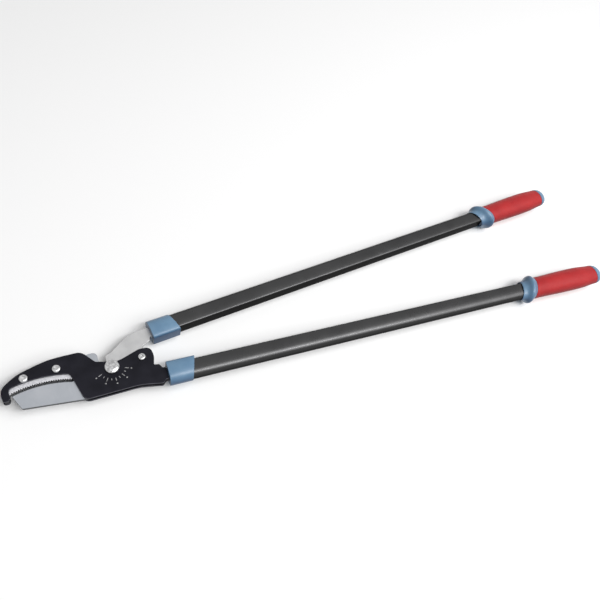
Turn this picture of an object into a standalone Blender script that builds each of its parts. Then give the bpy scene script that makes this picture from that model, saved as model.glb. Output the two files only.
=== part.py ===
"""Anvil lopper with a single pivot, lying flat and closed.

The fixed side is two steel plates, the anvil insert between them and the lower handle.
The moving side is the blade, the lever riveted to it and the upper handle.
+Z is the pivot axis, +X runs along the handles, and the origin is at the end of the
pivot bolt, on the surface that the lopper lies on. All sizes are in millimetres.
"""
import math

import bmesh
import bpy

MM = 0.001

# Clearances
SEAT_GAP = 0.3
FIT_GAP = 0.3

# Layers of the head
BLADE_THICKNESS = 4.0
PLATE_THICKNESS = 2.6
PLATE_EDGE_ROUND = 0.6

# Pivot
BOLT_DIAMETER = 8.0
BOLT_HEAD_DIAMETER = 19.6
BOLT_HEAD_HEIGHT = 4.6
BOLT_PROTRUSION = 4.0
BUSH_WALL = 2.0
WASHER_DIAMETER = 20.0
WASHER_THICKNESS = 2.0
PIVOT_NUT_ACROSS = 13.0
PIVOT_NUT_HEIGHT = 9.5
BOSS_RADIUS = 13.0
OPENING_ANGLE = 38.0

# Rivets that join the blade to the lever
LAP_RIVET_DIAMETER = 3.0
LAP_RIVET_COUNT = 3
LAP_RIVET_FIRST_ANGLE = 60.0

# Blade and lever round the pivot: the angles where they leave the boss
REAR_ANGLE = -110.0
HEEL_ANGLE = 134.0
BLADE_REAR_REACH = 34.0
LEVER_NOTCH_ANGLE = 110.0
LEVER_BACK_ANGLE = 340.0
STOP_LASH_ANGLE = 1.0

# Anvil arc, seen from above
ANVIL_CREST = (-93.0, 7.3)
ANVIL_RADIUS = 130.3
ANVIL_BAND = 7.2
TOOTH_DEPTH = 2.1
TOOTH_PITCH = 2.8
JAW_ROOT_X = -50.5
JAW_TIP_X = -122.6
EDGE_BEVEL = 3.0
JAW_STEPS = 14

# Anvil screws: where along the jaw, and how far above its edge
ANVIL_SCREW_SPOTS = ((-104.7, 12.1), (-65.1, 15.3))
SCREW_DIAMETER = 6.0
SCREW_HEAD_DIAMETER = 11.0
SCREW_HEAD_HEIGHT = 3.2
SCREW_NUT_ACROSS = 10.0
SCREW_NUT_HEIGHT = 5.0
SCREW_PROTRUSION = 1.0
SOCKET_ACROSS = 4.0
SOCKET_DEPTH = 1.6

# Closing stop
STOP_PLACE = (40.1, 1.8)
STOP_HEAD_DIAMETER = 10.4
STOP_SLEEVE_WALL = 1.6
STOP_BUMPER_WALL = 2.2
STOP_SHOULDER_LENGTH = 11.5

# Handle axes: half the angle between them, and their distances from the pivot
HANDLE_ANGLE = 4.36
UPPER_AXIS_OFFSET = 34.2
LOWER_AXIS_OFFSET = 28.0

# Tube: flat inner side, round outer side
TUBE_WIDTH = 26.0
TUBE_HEIGHT = 20.5
TUBE_WALL = 1.5
TUBE_CORNER_RADIUS = 2.5
TUBE_START = 71.2
UPPER_TUBE_LENGTH = 729.0
LOWER_TUBE_LENGTH = 715.0

# Collar
UPPER_COLLAR_START = 64.5
LOWER_COLLAR_START = 66.9
COLLAR_INNER_WALL = 3.6
COLLAR_OUTER_WALL = 1.2
COLLAR_FACE_WALL = 2.5
COLLAR_CORNER_RADIUS = 4.5
COLLAR_INNER_LENGTH = 39.5
COLLAR_OUTER_LENGTH = 30.7
COLLAR_ROUND = 2.2

# Tails of the lever and of the plates, inside the tubes
TAIL_WIDTH = 15.5
TAIL_INSET = 1.5
TAIL_END = 140.0
PLUG_END = 150.0
TANG_RIVET_DIAMETER = 5.0
TANG_RIVET_STATIONS = (90.0, 122.0)

# Grip
TUBE_IN_GRIP = 115.0
GRIP_LENGTH = 179.3
GRIP_INSET = 2.0
MOUTH_WIDTH = 32.6
MOUTH_HEIGHT = 25.0
GUARD_LENGTH = 28.2
GUARD_SLANT = 0.36
GUARD_WIDTH = 46.6
GUARD_HEIGHT = 42.0
GRIP_NECK_WIDTH = 36.8
GRIP_NECK_HEIGHT = 30.6
GRIP_SWELL_WIDTH = 39.9
GRIP_SWELL_HEIGHT = 31.5
GRIP_SWELL_STATION = 113.0
GRIP_END_WIDTH = 35.3
GRIP_END_HEIGHT = 27.4
END_FLANGE_LENGTH = 14.2
SLEEVE_WALL = 1.2
GRIP_SQUARENESS = 2.1
GRIP_SIDES = 32
SLEEVE_STEPS = 12

# Layer heights worked out from the sizes above, from the middle plane of the head
HALF_LAYER = BLADE_THICKNESS / 2
PLATE_INNER = HALF_LAYER + SEAT_GAP
PLATE_OUTER = PLATE_INNER + PLATE_THICKNESS
NUT_STACK = PLATE_OUTER + SEAT_GAP + WASHER_THICKNESS + SEAT_GAP + PIVOT_NUT_HEIGHT
BOLT_REACH = NUT_STACK + BOLT_PROTRUSION
MIDDLE_HEIGHT = max(GUARD_HEIGHT / 2, BOLT_REACH)
ANVIL_CENTRE = (ANVIL_CREST[0], ANVIL_CREST[1] - ANVIL_RADIUS)
BUSH_RADIUS = BOLT_DIAMETER / 2 + FIT_GAP + BUSH_WALL
BUMPER_RADIUS = SCREW_DIAMETER / 2 + 2 * FIT_GAP + STOP_SLEEVE_WALL + STOP_BUMPER_WALL
TAIL_OUTER = TAIL_WIDTH / 2 - TAIL_INSET
TAIL_INNER = -TAIL_WIDTH / 2 - TAIL_INSET
NECK_INNER = TAIL_INNER - 1.8
NECK_END = LOWER_COLLAR_START - 1.2
UPPER = 1
LOWER = -1


# Plane geometry

def polar(radius, angle, centre=(0.0, 0.0)):
    """Point at a distance and an angle in degrees from a centre."""
    turn = math.radians(angle)
    return (centre[0] + radius * math.cos(turn), centre[1] + radius * math.sin(turn))


def circle_arc(radius, start, stop, steps, centre=(0.0, 0.0)):
    """Points along an arc between two angles in degrees."""
    span = stop - start
    return [polar(radius, start + span * i / steps, centre) for i in range(steps + 1)]


def sharp(points):
    """Points as corners without a fillet."""
    return [(x, y, 0.0) for x, y in points]


def fillet(before, corner, after, radius):
    """Points that round one corner of an outline."""
    x, y = corner
    ax, ay = before[0] - x, before[1] - y
    bx, by = after[0] - x, after[1] - y
    a_length, b_length = math.hypot(ax, ay), math.hypot(bx, by)
    ax, ay, bx, by = ax / a_length, ay / a_length, bx / b_length, by / b_length
    opening = math.acos(max(-1.0, min(1.0, ax * bx + ay * by)))
    reach = min(radius / math.tan(opening / 2), 0.48 * a_length, 0.48 * b_length)
    radius = reach * math.tan(opening / 2)
    depth = math.hypot(reach, radius)
    mx, my = ax + bx, ay + by
    m_length = math.hypot(mx, my)
    centre = (x + mx / m_length * depth, y + my / m_length * depth)
    start = math.atan2(y + ay * reach - centre[1], x + ax * reach - centre[0])
    stop = math.atan2(y + by * reach - centre[1], x + bx * reach - centre[0])
    span = (stop - start + math.pi) % (2 * math.pi) - math.pi
    steps = max(2, round(abs(span) / math.radians(15)))
    return [polar(radius, math.degrees(start + span * i / steps), centre)
            for i in range(steps + 1)]


def rounded_outline(corners):
    """Closed outline from corners given as x, y and fillet radius."""
    points = []
    for i, (x, y, radius) in enumerate(corners):
        if radius == 0.0:
            points.append((x, y))
            continue
        before, after = corners[i - 1][:2], corners[(i + 1) % len(corners)][:2]
        points.extend(fillet(before, (x, y), after, radius))
    return points


def on_axis(side, along, outward):
    """Point at a handle: distance along its axis, and distance outwards from it."""
    turn = math.radians(HANDLE_ANGLE)
    offset = axis_offset(side) + outward
    x = along * math.cos(turn) - offset * math.sin(turn)
    y = along * math.sin(turn) + offset * math.cos(turn)
    return (x, side * y)


def axis_offset(side):
    """Distance from the pivot to a handle's axis."""
    return UPPER_AXIS_OFFSET if side == UPPER else LOWER_AXIS_OFFSET


def arc_at_x(radius, x):
    """Point of a circle about the anvil's centre above a given x."""
    dx = x - ANVIL_CENTRE[0]
    return (x, ANVIL_CENTRE[1] + math.sqrt(radius * radius - dx * dx))


def above_jaw(x, height):
    """Point at a height above the jaw's edge."""
    return (x, arc_at_x(ANVIL_RADIUS, x)[1] + height)


def anvil_screw_places():
    """Places of the two screws through the anvil insert."""
    return [above_jaw(x, height) for x, height in ANVIL_SCREW_SPOTS]


def anvil_angle(x):
    """Angle at the anvil's centre of the jaw's edge at a given x, in degrees."""
    point = arc_at_x(ANVIL_RADIUS, x)
    return math.degrees(math.atan2(point[1] - ANVIL_CENTRE[1], point[0] - ANVIL_CENTRE[0]))


# Meshes and objects

def clear_scene():
    """Remove every object of the scene."""
    for item in list(bpy.data.objects):
        bpy.data.objects.remove(item, do_unlink=True)


def make_material(name, colour, metallic, roughness):
    """Principled material of one colour."""
    material = bpy.data.materials.new(name)
    material.use_nodes = True
    shader = material.node_tree.nodes["Principled BSDF"]
    shader.inputs["Base Color"].default_value = (*colour, 1.0)
    shader.inputs["Metallic"].default_value = metallic
    shader.inputs["Roughness"].default_value = roughness
    return material


def make_empty(name):
    """Empty on the pivot axis, at the middle plane of the head."""
    empty = bpy.data.objects.new(name, None)
    empty.location = (0.0, 0.0, MIDDLE_HEIGHT * MM)
    bpy.context.collection.objects.link(empty)
    return empty


def loft(rings, closed=False):
    """Mesh through rings of equally many points, capped or closed on itself."""
    shape = bmesh.new()
    loops = [[shape.verts.new([value * MM for value in point]) for point in ring]
             for ring in rings]
    if closed:
        loops.append(loops[0])
    for lower, upper in zip(loops, loops[1:]):
        for i in range(len(lower)):
            j = (i + 1) % len(lower)
            shape.faces.new((lower[i], lower[j], upper[j], upper[i]))
    if not closed:
        shape.faces.new(loops[0][::-1])
        shape.faces.new(loops[-1])
    bmesh.ops.recalc_face_normals(shape, faces=shape.faces)
    return shape


def prism(outline, bottom, top):
    """Mesh of a flat outline between two heights."""
    return loft([[(x, y, z) for x, y in outline] for z in (bottom, top)])


def lathe(profile, place=(0.0, 0.0), sides=32):
    """Mesh turned about a vertical axis, from radius and height pairs, capped."""
    rings = []
    for radius, height in profile:
        ring = circle_arc(radius, 0.0, 360.0, sides, place)[:-1]
        rings.append([(x, y, height) for x, y in ring])
    return loft(rings)


def ring_mesh(inner, outer, bottom, top, place=(0.0, 0.0), sides=32):
    """Mesh of a flat ring or a bush."""
    rings = []
    for radius, height in ((outer, bottom), (outer, top), (inner, top), (inner, bottom)):
        ring = circle_arc(radius, 0.0, 360.0, sides, place)[:-1]
        rings.append([(x, y, height) for x, y in ring])
    return loft(rings, closed=True)


def hexagon(across, place, turn=0.0):
    """Outline of a hexagon, from its width across the flats."""
    radius = across / math.sqrt(3)
    return [polar(radius, turn + 60.0 * i, place) for i in range(6)]


def join(shapes):
    """One mesh that holds several cutting shapes."""
    whole = bmesh.new()
    for shape in shapes:
        part = bpy.data.meshes.new("part")
        shape.to_mesh(part)
        shape.free()
        whole.from_mesh(part)
        bpy.data.meshes.remove(part)
    return whole


def make_object(name, shape, material, parent, turn=0.0, smooth_angle=35.0):
    """Object of a mesh, turned about its parent's vertical axis."""
    mesh = bpy.data.meshes.new(name)
    shape.to_mesh(mesh)
    shape.free()
    mesh.shade_smooth()
    mesh.set_sharp_from_angle(angle=math.radians(smooth_angle))
    item = bpy.data.objects.new(name, mesh)
    item.parent = parent
    item.rotation_euler = (0.0, 0.0, math.radians(turn))
    bpy.context.collection.objects.link(item)
    if material is not None:
        mesh.materials.append(material)
    return item


def round_edges(item, width, segments=2):
    """Round the sharp rims of a plate."""
    bevel = item.modifiers.new("edge_round", "BEVEL")
    bevel.width = width * MM
    bevel.segments = segments
    bevel.limit_method = "ANGLE"
    bevel.angle_limit = math.radians(60)
    bevel.harden_normals = True


def cut(item, shape, name):
    """Cut a shape out of an object."""
    cutter = make_object(name, shape, None, item.parent, math.degrees(item.rotation_euler.z))
    cutter.hide_render = True
    cutter.display_type = "WIRE"
    boolean = item.modifiers.new(name, "BOOLEAN")
    boolean.operation = "DIFFERENCE"
    boolean.solver = "EXACT"
    boolean.object = cutter


def drill(item, diameter, places, name):
    """Cut round holes with clearance through a flat piece."""
    radius = diameter / 2 + FIT_GAP
    reach = PLATE_OUTER + BOLT_HEAD_HEIGHT
    holes = [lathe(((radius, -reach), (radius, reach)), place, 24) for place in places]
    cut(item, join(holes), item.name + "_" + name)


# Outlines of the head

def jaw_arc(radius, steps):
    """Points along the jaw at a radius about the anvil's centre, root to tip."""
    start, stop = anvil_angle(JAW_ROOT_X), anvil_angle(JAW_TIP_X)
    return circle_arc(radius, start, stop, steps, ANVIL_CENTRE)


def plate_outline():
    """Outline that both plates share."""
    window = ANVIL_RADIUS + ANVIL_BAND
    corners = [(-132.9, -5.3, 2.9), (-134.0, 13.0, 15.0), (*above_jaw(-112.0, 21.4), 50.0),
               (*above_jaw(-72.0, 30.8), 90.0), (-31.0, 34.7, 13.0), (-17.6, 14.6, 5.0),
               (8.0, 6.0, 22.0), (40.0, 15.3, 13.0), (55.0, 13.5, 11.0),
               (55.8, -1.0, 20.0), (51.4, -13.8, 1.5), (57.9, -14.8, 3.0),
               (*on_axis(LOWER, NECK_END - 3.2, NECK_INNER), 2.0)]
    corners += sharp([on_axis(LOWER, NECK_END, NECK_INNER), on_axis(LOWER, NECK_END, TAIL_INNER),
                      on_axis(LOWER, TAIL_END, TAIL_INNER), on_axis(LOWER, TAIL_END, TAIL_OUTER)])
    corners += [(*on_axis(LOWER, 62.0, TAIL_OUTER), 3.0), (55.6, -43.6, 4.0),
                (28.0, -36.0, 70.0), (-43.0, -33.4, 9.0), (-49.6, 0.0, 4.0),
                (*arc_at_x(window, JAW_ROOT_X - 1.6), 4.0)]
    corners += sharp(jaw_arc(window, JAW_STEPS)[2:-2])
    corners += [(*arc_at_x(window, JAW_TIP_X - 1.6), 5.0), (JAW_TIP_X - 1.6, -2.5, 7.0),
                (-126.8, -5.5, 2.4)]
    return rounded_outline(corners)


def insert_outline():
    """Outline of the toothed anvil insert."""
    start, stop = anvil_angle(JAW_ROOT_X + 1.4), anvil_angle(JAW_TIP_X)
    length = math.radians(abs(stop - start)) * ANVIL_RADIUS
    count = round(length / TOOTH_PITCH)
    teeth = []
    for i in range(2 * count + 1):
        radius = ANVIL_RADIUS + (TOOTH_DEPTH if i % 2 else 0.0)
        teeth.append(polar(radius, start + (stop - start) * i / (2 * count), ANVIL_CENTRE))
    tip_reach = math.hypot(*arc_at_x(ANVIL_RADIUS, JAW_TIP_X)) + 1.8
    nose = circle_arc(tip_reach, 178.4, 180.9, 2)
    corners = sharp(teeth + nose)
    corners += [(-127.2, -4.9, 0.8), (-131.4, -4.8, 2.0), (-131.6, 12.4, 13.0),
                (*above_jaw(-111.0, 20.0), 48.0), (*above_jaw(-73.0, 28.6), 80.0),
                (JAW_ROOT_X + 1.4, 34.0, 3.0)]
    return rounded_outline(corners)


def blade_outline(edge_radius, face_radius):
    """Outline of the blade, with its edge drawn back to the radius of a face's bevel."""
    rear = REAR_ANGLE
    corners = sharp(jaw_arc(edge_radius, JAW_STEPS))
    corners += [(-114.2, -19.0, 2.0), (-38.0, -32.0, 14.0), (*polar(BLADE_REAR_REACH, rear), 2.5)]
    corners += sharp(circle_arc(BOSS_RADIUS, rear, HEEL_ANGLE, 24))
    corners += [(-13.6, 15.0, 4.0), (-12.2, 29.6, 7.0), (-27.6, 29.6, 7.0), (-44.4, -2.5, 3.0)]
    return jaw_arc(face_radius, JAW_STEPS) + rounded_outline(corners)[JAW_STEPS + 1:]


def lever_outline():
    """Outline of the lever, from the pivot boss to the end of its tail."""
    shoulder = STOP_PLACE[1] + BUMPER_RADIUS + SEAT_GAP
    left = STOP_PLACE[0] - STOP_SHOULDER_LENGTH / 2
    right = STOP_PLACE[0] + STOP_SHOULDER_LENGTH / 2
    corners = [(left, shoulder, 2.0), (right, shoulder, 1.0), (right, 19.2, 3.0),
               (58.4, 25.6, 2.0), (59.8, 29.2, 1.5)]
    corners += sharp([on_axis(UPPER, UPPER_COLLAR_START - 1.0, TAIL_INNER),
                      on_axis(UPPER, TAIL_END, TAIL_INNER), on_axis(UPPER, TAIL_END, TAIL_OUTER)])
    corners += [(*on_axis(UPPER, 57.0, TAIL_OUTER), 14.0), (32.0, 41.6, 30.0),
                (4.0, 22.4, 8.0), (-3.4, 20.6, 3.0)]
    corners += sharp(circle_arc(BOSS_RADIUS, LEVER_NOTCH_ANGLE, LEVER_BACK_ANGLE, 24))
    return rounded_outline(corners)


def tang_outline():
    """Outline of the spacer between the plates that carries the lower tail."""
    stop_angle = REAR_ANGLE + OPENING_ANGLE + STOP_LASH_ANGLE
    clear_radius = BOSS_RADIUS + 2 * FIT_GAP
    corners = sharp(circle_arc(clear_radius, stop_angle, -26.0, 6))
    corners += [(24.0, -9.5, 6.0), (49.5, -15.6, 4.0)]
    corners += sharp([on_axis(LOWER, 62.0, TAIL_INNER), on_axis(LOWER, TAIL_END, TAIL_INNER),
                      on_axis(LOWER, TAIL_END, TAIL_OUTER), on_axis(LOWER, 62.5, TAIL_OUTER)])
    corners += [(54.6, -42.0, 4.0), (28.0, -35.6, 70.0)]
    corners += sharp([polar(BLADE_REAR_REACH + 1.0, stop_angle)])
    return rounded_outline(corners)


# Head pieces

def build_plates(steel, root):
    """Front and rear plates, alike, one on each side of the blade."""
    layers = (("front_plate", PLATE_INNER, PLATE_OUTER),
              ("rear_plate", -PLATE_OUTER, -PLATE_INNER))
    for name, bottom, top in layers:
        plate = make_object(name, prism(plate_outline(), bottom, top), steel, root)
        round_edges(plate, PLATE_EDGE_ROUND)
        drill(plate, BOLT_DIAMETER, [(0.0, 0.0)], "pivot_hole")
        drill(plate, SCREW_DIAMETER, [*anvil_screw_places(), STOP_PLACE], "screw_holes")
        drill(plate, TANG_RIVET_DIAMETER, tang_rivet_places(), "rivet_holes")


def tang_rivet_places():
    """Places of the rivets along the lower tail."""
    return [on_axis(LOWER, station, -TAIL_INSET) for station in TANG_RIVET_STATIONS]


def build_insert(alloy, root):
    """Toothed anvil insert, held between the plates by two screws."""
    shape = prism(insert_outline(), -HALF_LAYER, HALF_LAYER)
    insert = make_object("anvil_insert", shape, alloy, root)
    drill(insert, SCREW_DIAMETER, anvil_screw_places(), "screw_holes")


def build_tang(steel, root):
    """Lower tang between the plates, which also stops the blade when it is open."""
    shape = prism(tang_outline(), -HALF_LAYER, HALF_LAYER)
    tang = make_object("lower_tang", shape, steel, root)
    drill(tang, TANG_RIVET_DIAMETER, tang_rivet_places(), "rivet_holes")


def build_blade(steel, moving):
    """Blade with a ground edge, halved at the pivot to lie under the lever."""
    edge = ANVIL_RADIUS - FIT_GAP
    levels = ((-HALF_LAYER, edge - EDGE_BEVEL), (0.0, edge), (HALF_LAYER, edge - EDGE_BEVEL))
    rings = [[(x, y, z) for x, y in blade_outline(edge, radius)] for z, radius in levels]
    blade = make_object("blade", loft(rings), steel, moving)
    finish_lap(blade, -SEAT_GAP / 2, HALF_LAYER + 1.0)


def build_lever(steel, moving):
    """Lever that carries the upper handle, halved at the pivot to lie on the blade."""
    shape = prism(lever_outline(), -HALF_LAYER, HALF_LAYER)
    lever = make_object("lever", shape, steel, moving)
    round_edges(lever, PLATE_EDGE_ROUND / 2, 1)
    finish_lap(lever, -HALF_LAYER - 1.0, SEAT_GAP / 2)


def finish_lap(item, bottom, top):
    """Halve a piece at the pivot boss, and bore it for the bush and the rivets."""
    radius = BOSS_RADIUS + FIT_GAP
    cut(item, lathe(((radius, bottom), (radius, top)), sides=48), item.name + "_lap")
    drill(item, 2 * BUSH_RADIUS, [(0.0, 0.0)], "bush_bore")
    drill(item, LAP_RIVET_DIAMETER, lap_rivet_places(), "rivet_holes")


def lap_rivet_places():
    """Places of the rivets round the pivot, between the bush and the boss's rim."""
    radius = (BUSH_RADIUS + BOSS_RADIUS) / 2
    step = 360.0 / LAP_RIVET_COUNT
    return [polar(radius, LAP_RIVET_FIRST_ANGLE + step * i) for i in range(LAP_RIVET_COUNT)]


def pin(diameter, place, bottom, top):
    """Mesh of a plain round pin."""
    return lathe(((diameter / 2, bottom), (diameter / 2, top)), place, 16)


def build_rivets(steel, root, moving):
    """Flush rivets of the lap joint and of the lower tail."""
    for number, place in enumerate(lap_rivet_places(), 1):
        shape = pin(LAP_RIVET_DIAMETER, place, -HALF_LAYER, HALF_LAYER)
        make_object(f"lap_rivet_{number}", shape, steel, moving)
    for number, place in enumerate(tang_rivet_places(), 1):
        shape = pin(TANG_RIVET_DIAMETER, place, -PLATE_OUTER, PLATE_OUTER)
        make_object(f"tang_rivet_{number}", shape, steel, root)


# Fasteners

def dome_profile(diameter, height, seat, shank, reach, flat):
    """Profile of a bolt from the end of its shank to the flat on its domed head."""
    radius = diameter / 2
    rim = height * 0.22
    profile = [(shank / 2, -reach), (shank / 2, seat), (radius, seat), (radius, seat + rim)]
    for step in (0.25, 0.5, 0.75, 1.0):
        reach_out = flat + (radius - flat) * math.cos(step * math.pi / 2)
        rise = rim + (height - rim) * math.sin(step * math.pi / 2)
        profile.append((reach_out, seat + rise))
    return profile


def build_pivot(steel, bronze, root):
    """Pivot bolt, bush, washer and nut."""
    seat = PLATE_OUTER + SEAT_GAP
    profile = dome_profile(BOLT_HEAD_DIAMETER, BOLT_HEAD_HEIGHT, seat, BOLT_DIAMETER,
                           BOLT_REACH, BOLT_HEAD_DIAMETER * 0.12)
    make_object("pivot_bolt", lathe(profile), steel, root)
    bore = BOLT_DIAMETER / 2 + FIT_GAP
    bush = ring_mesh(bore, BUSH_RADIUS, -HALF_LAYER, HALF_LAYER)
    make_object("pivot_bush", bush, bronze, root)
    washer_top = -seat
    washer_bottom = washer_top - WASHER_THICKNESS
    washer = ring_mesh(bore, WASHER_DIAMETER / 2, washer_bottom, washer_top)
    make_object("pivot_washer", washer, steel, root)
    nut_top = washer_bottom - SEAT_GAP
    build_nut("pivot_nut", PIVOT_NUT_ACROSS, nut_top - PIVOT_NUT_HEIGHT, nut_top,
              BOLT_DIAMETER, (0.0, 0.0), steel, root)


def build_nut(name, across, bottom, top, diameter, place, steel, root):
    """Hexagon nut with a clearance hole."""
    shape = prism(hexagon(across, place), bottom, top)
    nut = make_object(name, shape, steel, root, smooth_angle=20.0)
    radius = diameter / 2 + FIT_GAP
    hole = lathe(((radius, bottom - 1.0), (radius, top + 1.0)), place, 24)
    cut(nut, hole, name + "_hole")


def build_screw(name, head, place, steel, root):
    """Button-head screw with a hexagon socket, through both plates."""
    seat = PLATE_OUTER + SEAT_GAP
    reach = seat + SCREW_NUT_HEIGHT + SCREW_PROTRUSION
    profile = dome_profile(head, SCREW_HEAD_HEIGHT, seat, SCREW_DIAMETER, reach, head * 0.26)
    screw = make_object(name, lathe(profile, place, 24), steel, root)
    top = seat + SCREW_HEAD_HEIGHT
    socket = prism(hexagon(SOCKET_ACROSS, place, 15.0), top - SOCKET_DEPTH, top + 1.0)
    cut(screw, socket, name + "_socket")


def build_screw_nut(name, place, steel, root):
    """Nut of a screw, behind the rear plate."""
    top = -PLATE_OUTER - SEAT_GAP
    build_nut(name, SCREW_NUT_ACROSS, top - SCREW_NUT_HEIGHT, top, SCREW_DIAMETER,
              place, steel, root)


def build_fasteners(steel, rubber, root):
    """Anvil screws, the stop bolt with its sleeve and bumper, and all their nuts."""
    for number, place in enumerate(anvil_screw_places(), 1):
        build_screw(f"anvil_screw_{number}", SCREW_HEAD_DIAMETER, place, steel, root)
        build_screw_nut(f"anvil_nut_{number}", place, steel, root)
    build_screw("stop_bolt", STOP_HEAD_DIAMETER, STOP_PLACE, steel, root)
    build_screw_nut("stop_nut", STOP_PLACE, steel, root)
    inner = SCREW_DIAMETER / 2 + FIT_GAP
    outer = inner + STOP_SLEEVE_WALL
    sleeve = ring_mesh(inner, outer, -HALF_LAYER, HALF_LAYER, STOP_PLACE, 24)
    make_object("stop_sleeve", sleeve, steel, root)
    bumper = ring_mesh(outer + FIT_GAP, BUMPER_RADIUS, -HALF_LAYER, HALF_LAYER, STOP_PLACE)
    make_object("stop_bumper", bumper, rubber, root)


# Handle pieces: x along the handle's axis, y outwards from the pivot

def half_round_section(inner, outer, half_height, corner):
    """Section with a flat inner side and a round outer side: outwards and height pairs."""
    points = circle_arc(half_height, -90.0, 90.0, 14, (outer - half_height, 0.0))
    points += circle_arc(corner, 90.0, 180.0, 4, (corner - inner, half_height - corner))
    points += circle_arc(corner, 180.0, 270.0, 4, (corner - inner, corner - half_height))
    return points


def tube_section(grow):
    """Section of the tube, grown by a distance."""
    half_width = TUBE_WIDTH / 2 + grow
    corner = max(0.4, TUBE_CORNER_RADIUS + grow)
    return half_round_section(half_width, half_width, TUBE_HEIGHT / 2 + grow, corner)


def collar_section(ease_in):
    """Section of the collar, drawn in by a distance."""
    clear = TUBE_WIDTH / 2 + FIT_GAP - ease_in
    height = TUBE_HEIGHT / 2 + FIT_GAP + COLLAR_FACE_WALL - ease_in
    return half_round_section(clear + COLLAR_INNER_WALL, clear + COLLAR_OUTER_WALL, height,
                              COLLAR_CORNER_RADIUS - ease_in)


def section_ring(side, along, points, slope=0.0, inset=0.0):
    """Ring of a handle piece: a section at a station, with an optional slant."""
    offset = axis_offset(side) + inset
    return [(along + slope * y, side * (offset + y), z) for y, z in points]


def collar_start(side):
    """Station where a handle's collar begins."""
    return UPPER_COLLAR_START if side == UPPER else LOWER_COLLAR_START


def tube_length(side):
    """Length of a handle's tube."""
    return UPPER_TUBE_LENGTH if side == UPPER else LOWER_TUBE_LENGTH


def handle_object(side, name, shape, material, parent):
    """Object of one handle, turned to the handle's angle."""
    prefix = "upper_" if side == UPPER else "lower_"
    return make_object(prefix + name, shape, material, parent, side * HANDLE_ANGLE)


def build_tube(side, paint, parent):
    """Hollow tube."""
    start = TUBE_START
    stop = start + tube_length(side)
    outer, inner = tube_section(0.0), tube_section(-TUBE_WALL)
    stations = ((start, outer), (stop, outer), (stop, inner), (start, inner))
    rings = [section_ring(side, along, points) for along, points in stations]
    handle_object(side, "tube", loft(rings, closed=True), paint, parent)


def tail_box(side, start, stop, half_thickness):
    """Mesh of the room that a tail takes in the collar and the plug."""
    low, high = TAIL_INNER - FIT_GAP, TAIL_OUTER + FIT_GAP
    half = half_thickness + FIT_GAP
    points = [(low, -half), (high, -half), (high, half), (low, half)]
    return loft([section_ring(side, along, points) for along in (start, stop)])


def build_collar(side, plastic, half_thickness, parent):
    """Collar over the front of a tube, with a rear end cut at a slant."""
    outer = collar_section(0.0)
    middle_length = (COLLAR_INNER_LENGTH + COLLAR_OUTER_LENGTH) / 2
    slope = (COLLAR_OUTER_LENGTH - COLLAR_INNER_LENGTH) / TUBE_WIDTH
    start = collar_start(side)
    rear = start + middle_length
    rings = [section_ring(side, start, collar_section(COLLAR_ROUND)),
             section_ring(side, start + COLLAR_ROUND * 0.35, collar_section(COLLAR_ROUND * 0.35)),
             section_ring(side, start + COLLAR_ROUND, outer),
             section_ring(side, rear - COLLAR_ROUND * 0.6, outer, slope),
             section_ring(side, rear, collar_section(COLLAR_ROUND * 0.4), slope)]
    collar = handle_object(side, "collar", loft(rings), plastic, parent)
    pocket = tube_section(FIT_GAP)
    room = [section_ring(side, TUBE_START - SEAT_GAP, pocket),
            section_ring(side, start + 2 * COLLAR_INNER_LENGTH, pocket)]
    cut(collar, loft(room), collar.name + "_pocket")
    slot = tail_box(side, start - 5.0, TUBE_START + 5.0, half_thickness)
    cut(collar, slot, collar.name + "_slot")


def build_plug(side, plastic, half_thickness, parent):
    """Packing inside the tube that holds a tail."""
    points = tube_section(-TUBE_WALL - FIT_GAP)
    rings = [section_ring(side, along, points) for along in (TUBE_START, PLUG_END)]
    plug = handle_object(side, "tang_plug", loft(rings), plastic, parent)
    slot = tail_box(side, TUBE_START - 5.0, TAIL_END + SEAT_GAP, half_thickness)
    cut(plug, slot, plug.name + "_slot")


def grip_section(half_width, half_height):
    """Oval section of the grip: outwards and height pairs."""
    points = []
    for i in range(GRIP_SIDES):
        turn = 2 * math.pi * (i + 0.5) / GRIP_SIDES
        c, s = math.cos(turn), math.sin(turn)
        power = 2 / GRIP_SQUARENESS
        y = math.copysign(abs(c) ** power, c) * half_width
        z = math.copysign(abs(s) ** power, s) * half_height
        points.append((y, z))
    lift = half_height / max(z for _, z in points)
    return [(y, z * lift) for y, z in points]


def ease(low, high, share):
    """Value that passes smoothly from low to high."""
    return low + (high - low) * (1 - math.cos(math.pi * share)) / 2


def sleeve_half_sizes(station):
    """Half width and half height of the sleeve at a station of the grip."""
    swell = GRIP_SWELL_STATION
    last = GRIP_LENGTH - END_FLANGE_LENGTH
    if station < swell:
        share = max(0.0, (station - GUARD_LENGTH) / (swell - GUARD_LENGTH))
        return (ease(GRIP_NECK_WIDTH, GRIP_SWELL_WIDTH, share) / 2,
                ease(GRIP_NECK_HEIGHT, GRIP_SWELL_HEIGHT, share) / 2)
    share = (station - swell) / (last - swell)
    return (ease(GRIP_SWELL_WIDTH, GRIP_END_WIDTH, share ** 1.6) / 2,
            ease(GRIP_SWELL_HEIGHT, GRIP_END_HEIGHT, share ** 1.6) / 2)


def barrel_half_sizes():
    """Half width and half height of the core under the sleeve."""
    reduce = SLEEVE_WALL + SEAT_GAP
    return (min(GRIP_NECK_WIDTH, GRIP_END_WIDTH) / 2 - reduce,
            min(GRIP_NECK_HEIGHT, GRIP_END_HEIGHT) / 2 - reduce)


def grip_ring(side, station, half_width, half_height, slant=0.0):
    """Ring of the grip at a station, inwards of the tube's axis by the inset."""
    guard_start = TUBE_START + tube_length(side) - TUBE_IN_GRIP
    points = grip_section(half_width, half_height)
    return section_ring(side, guard_start + station, points, -slant, -GRIP_INSET)


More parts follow.
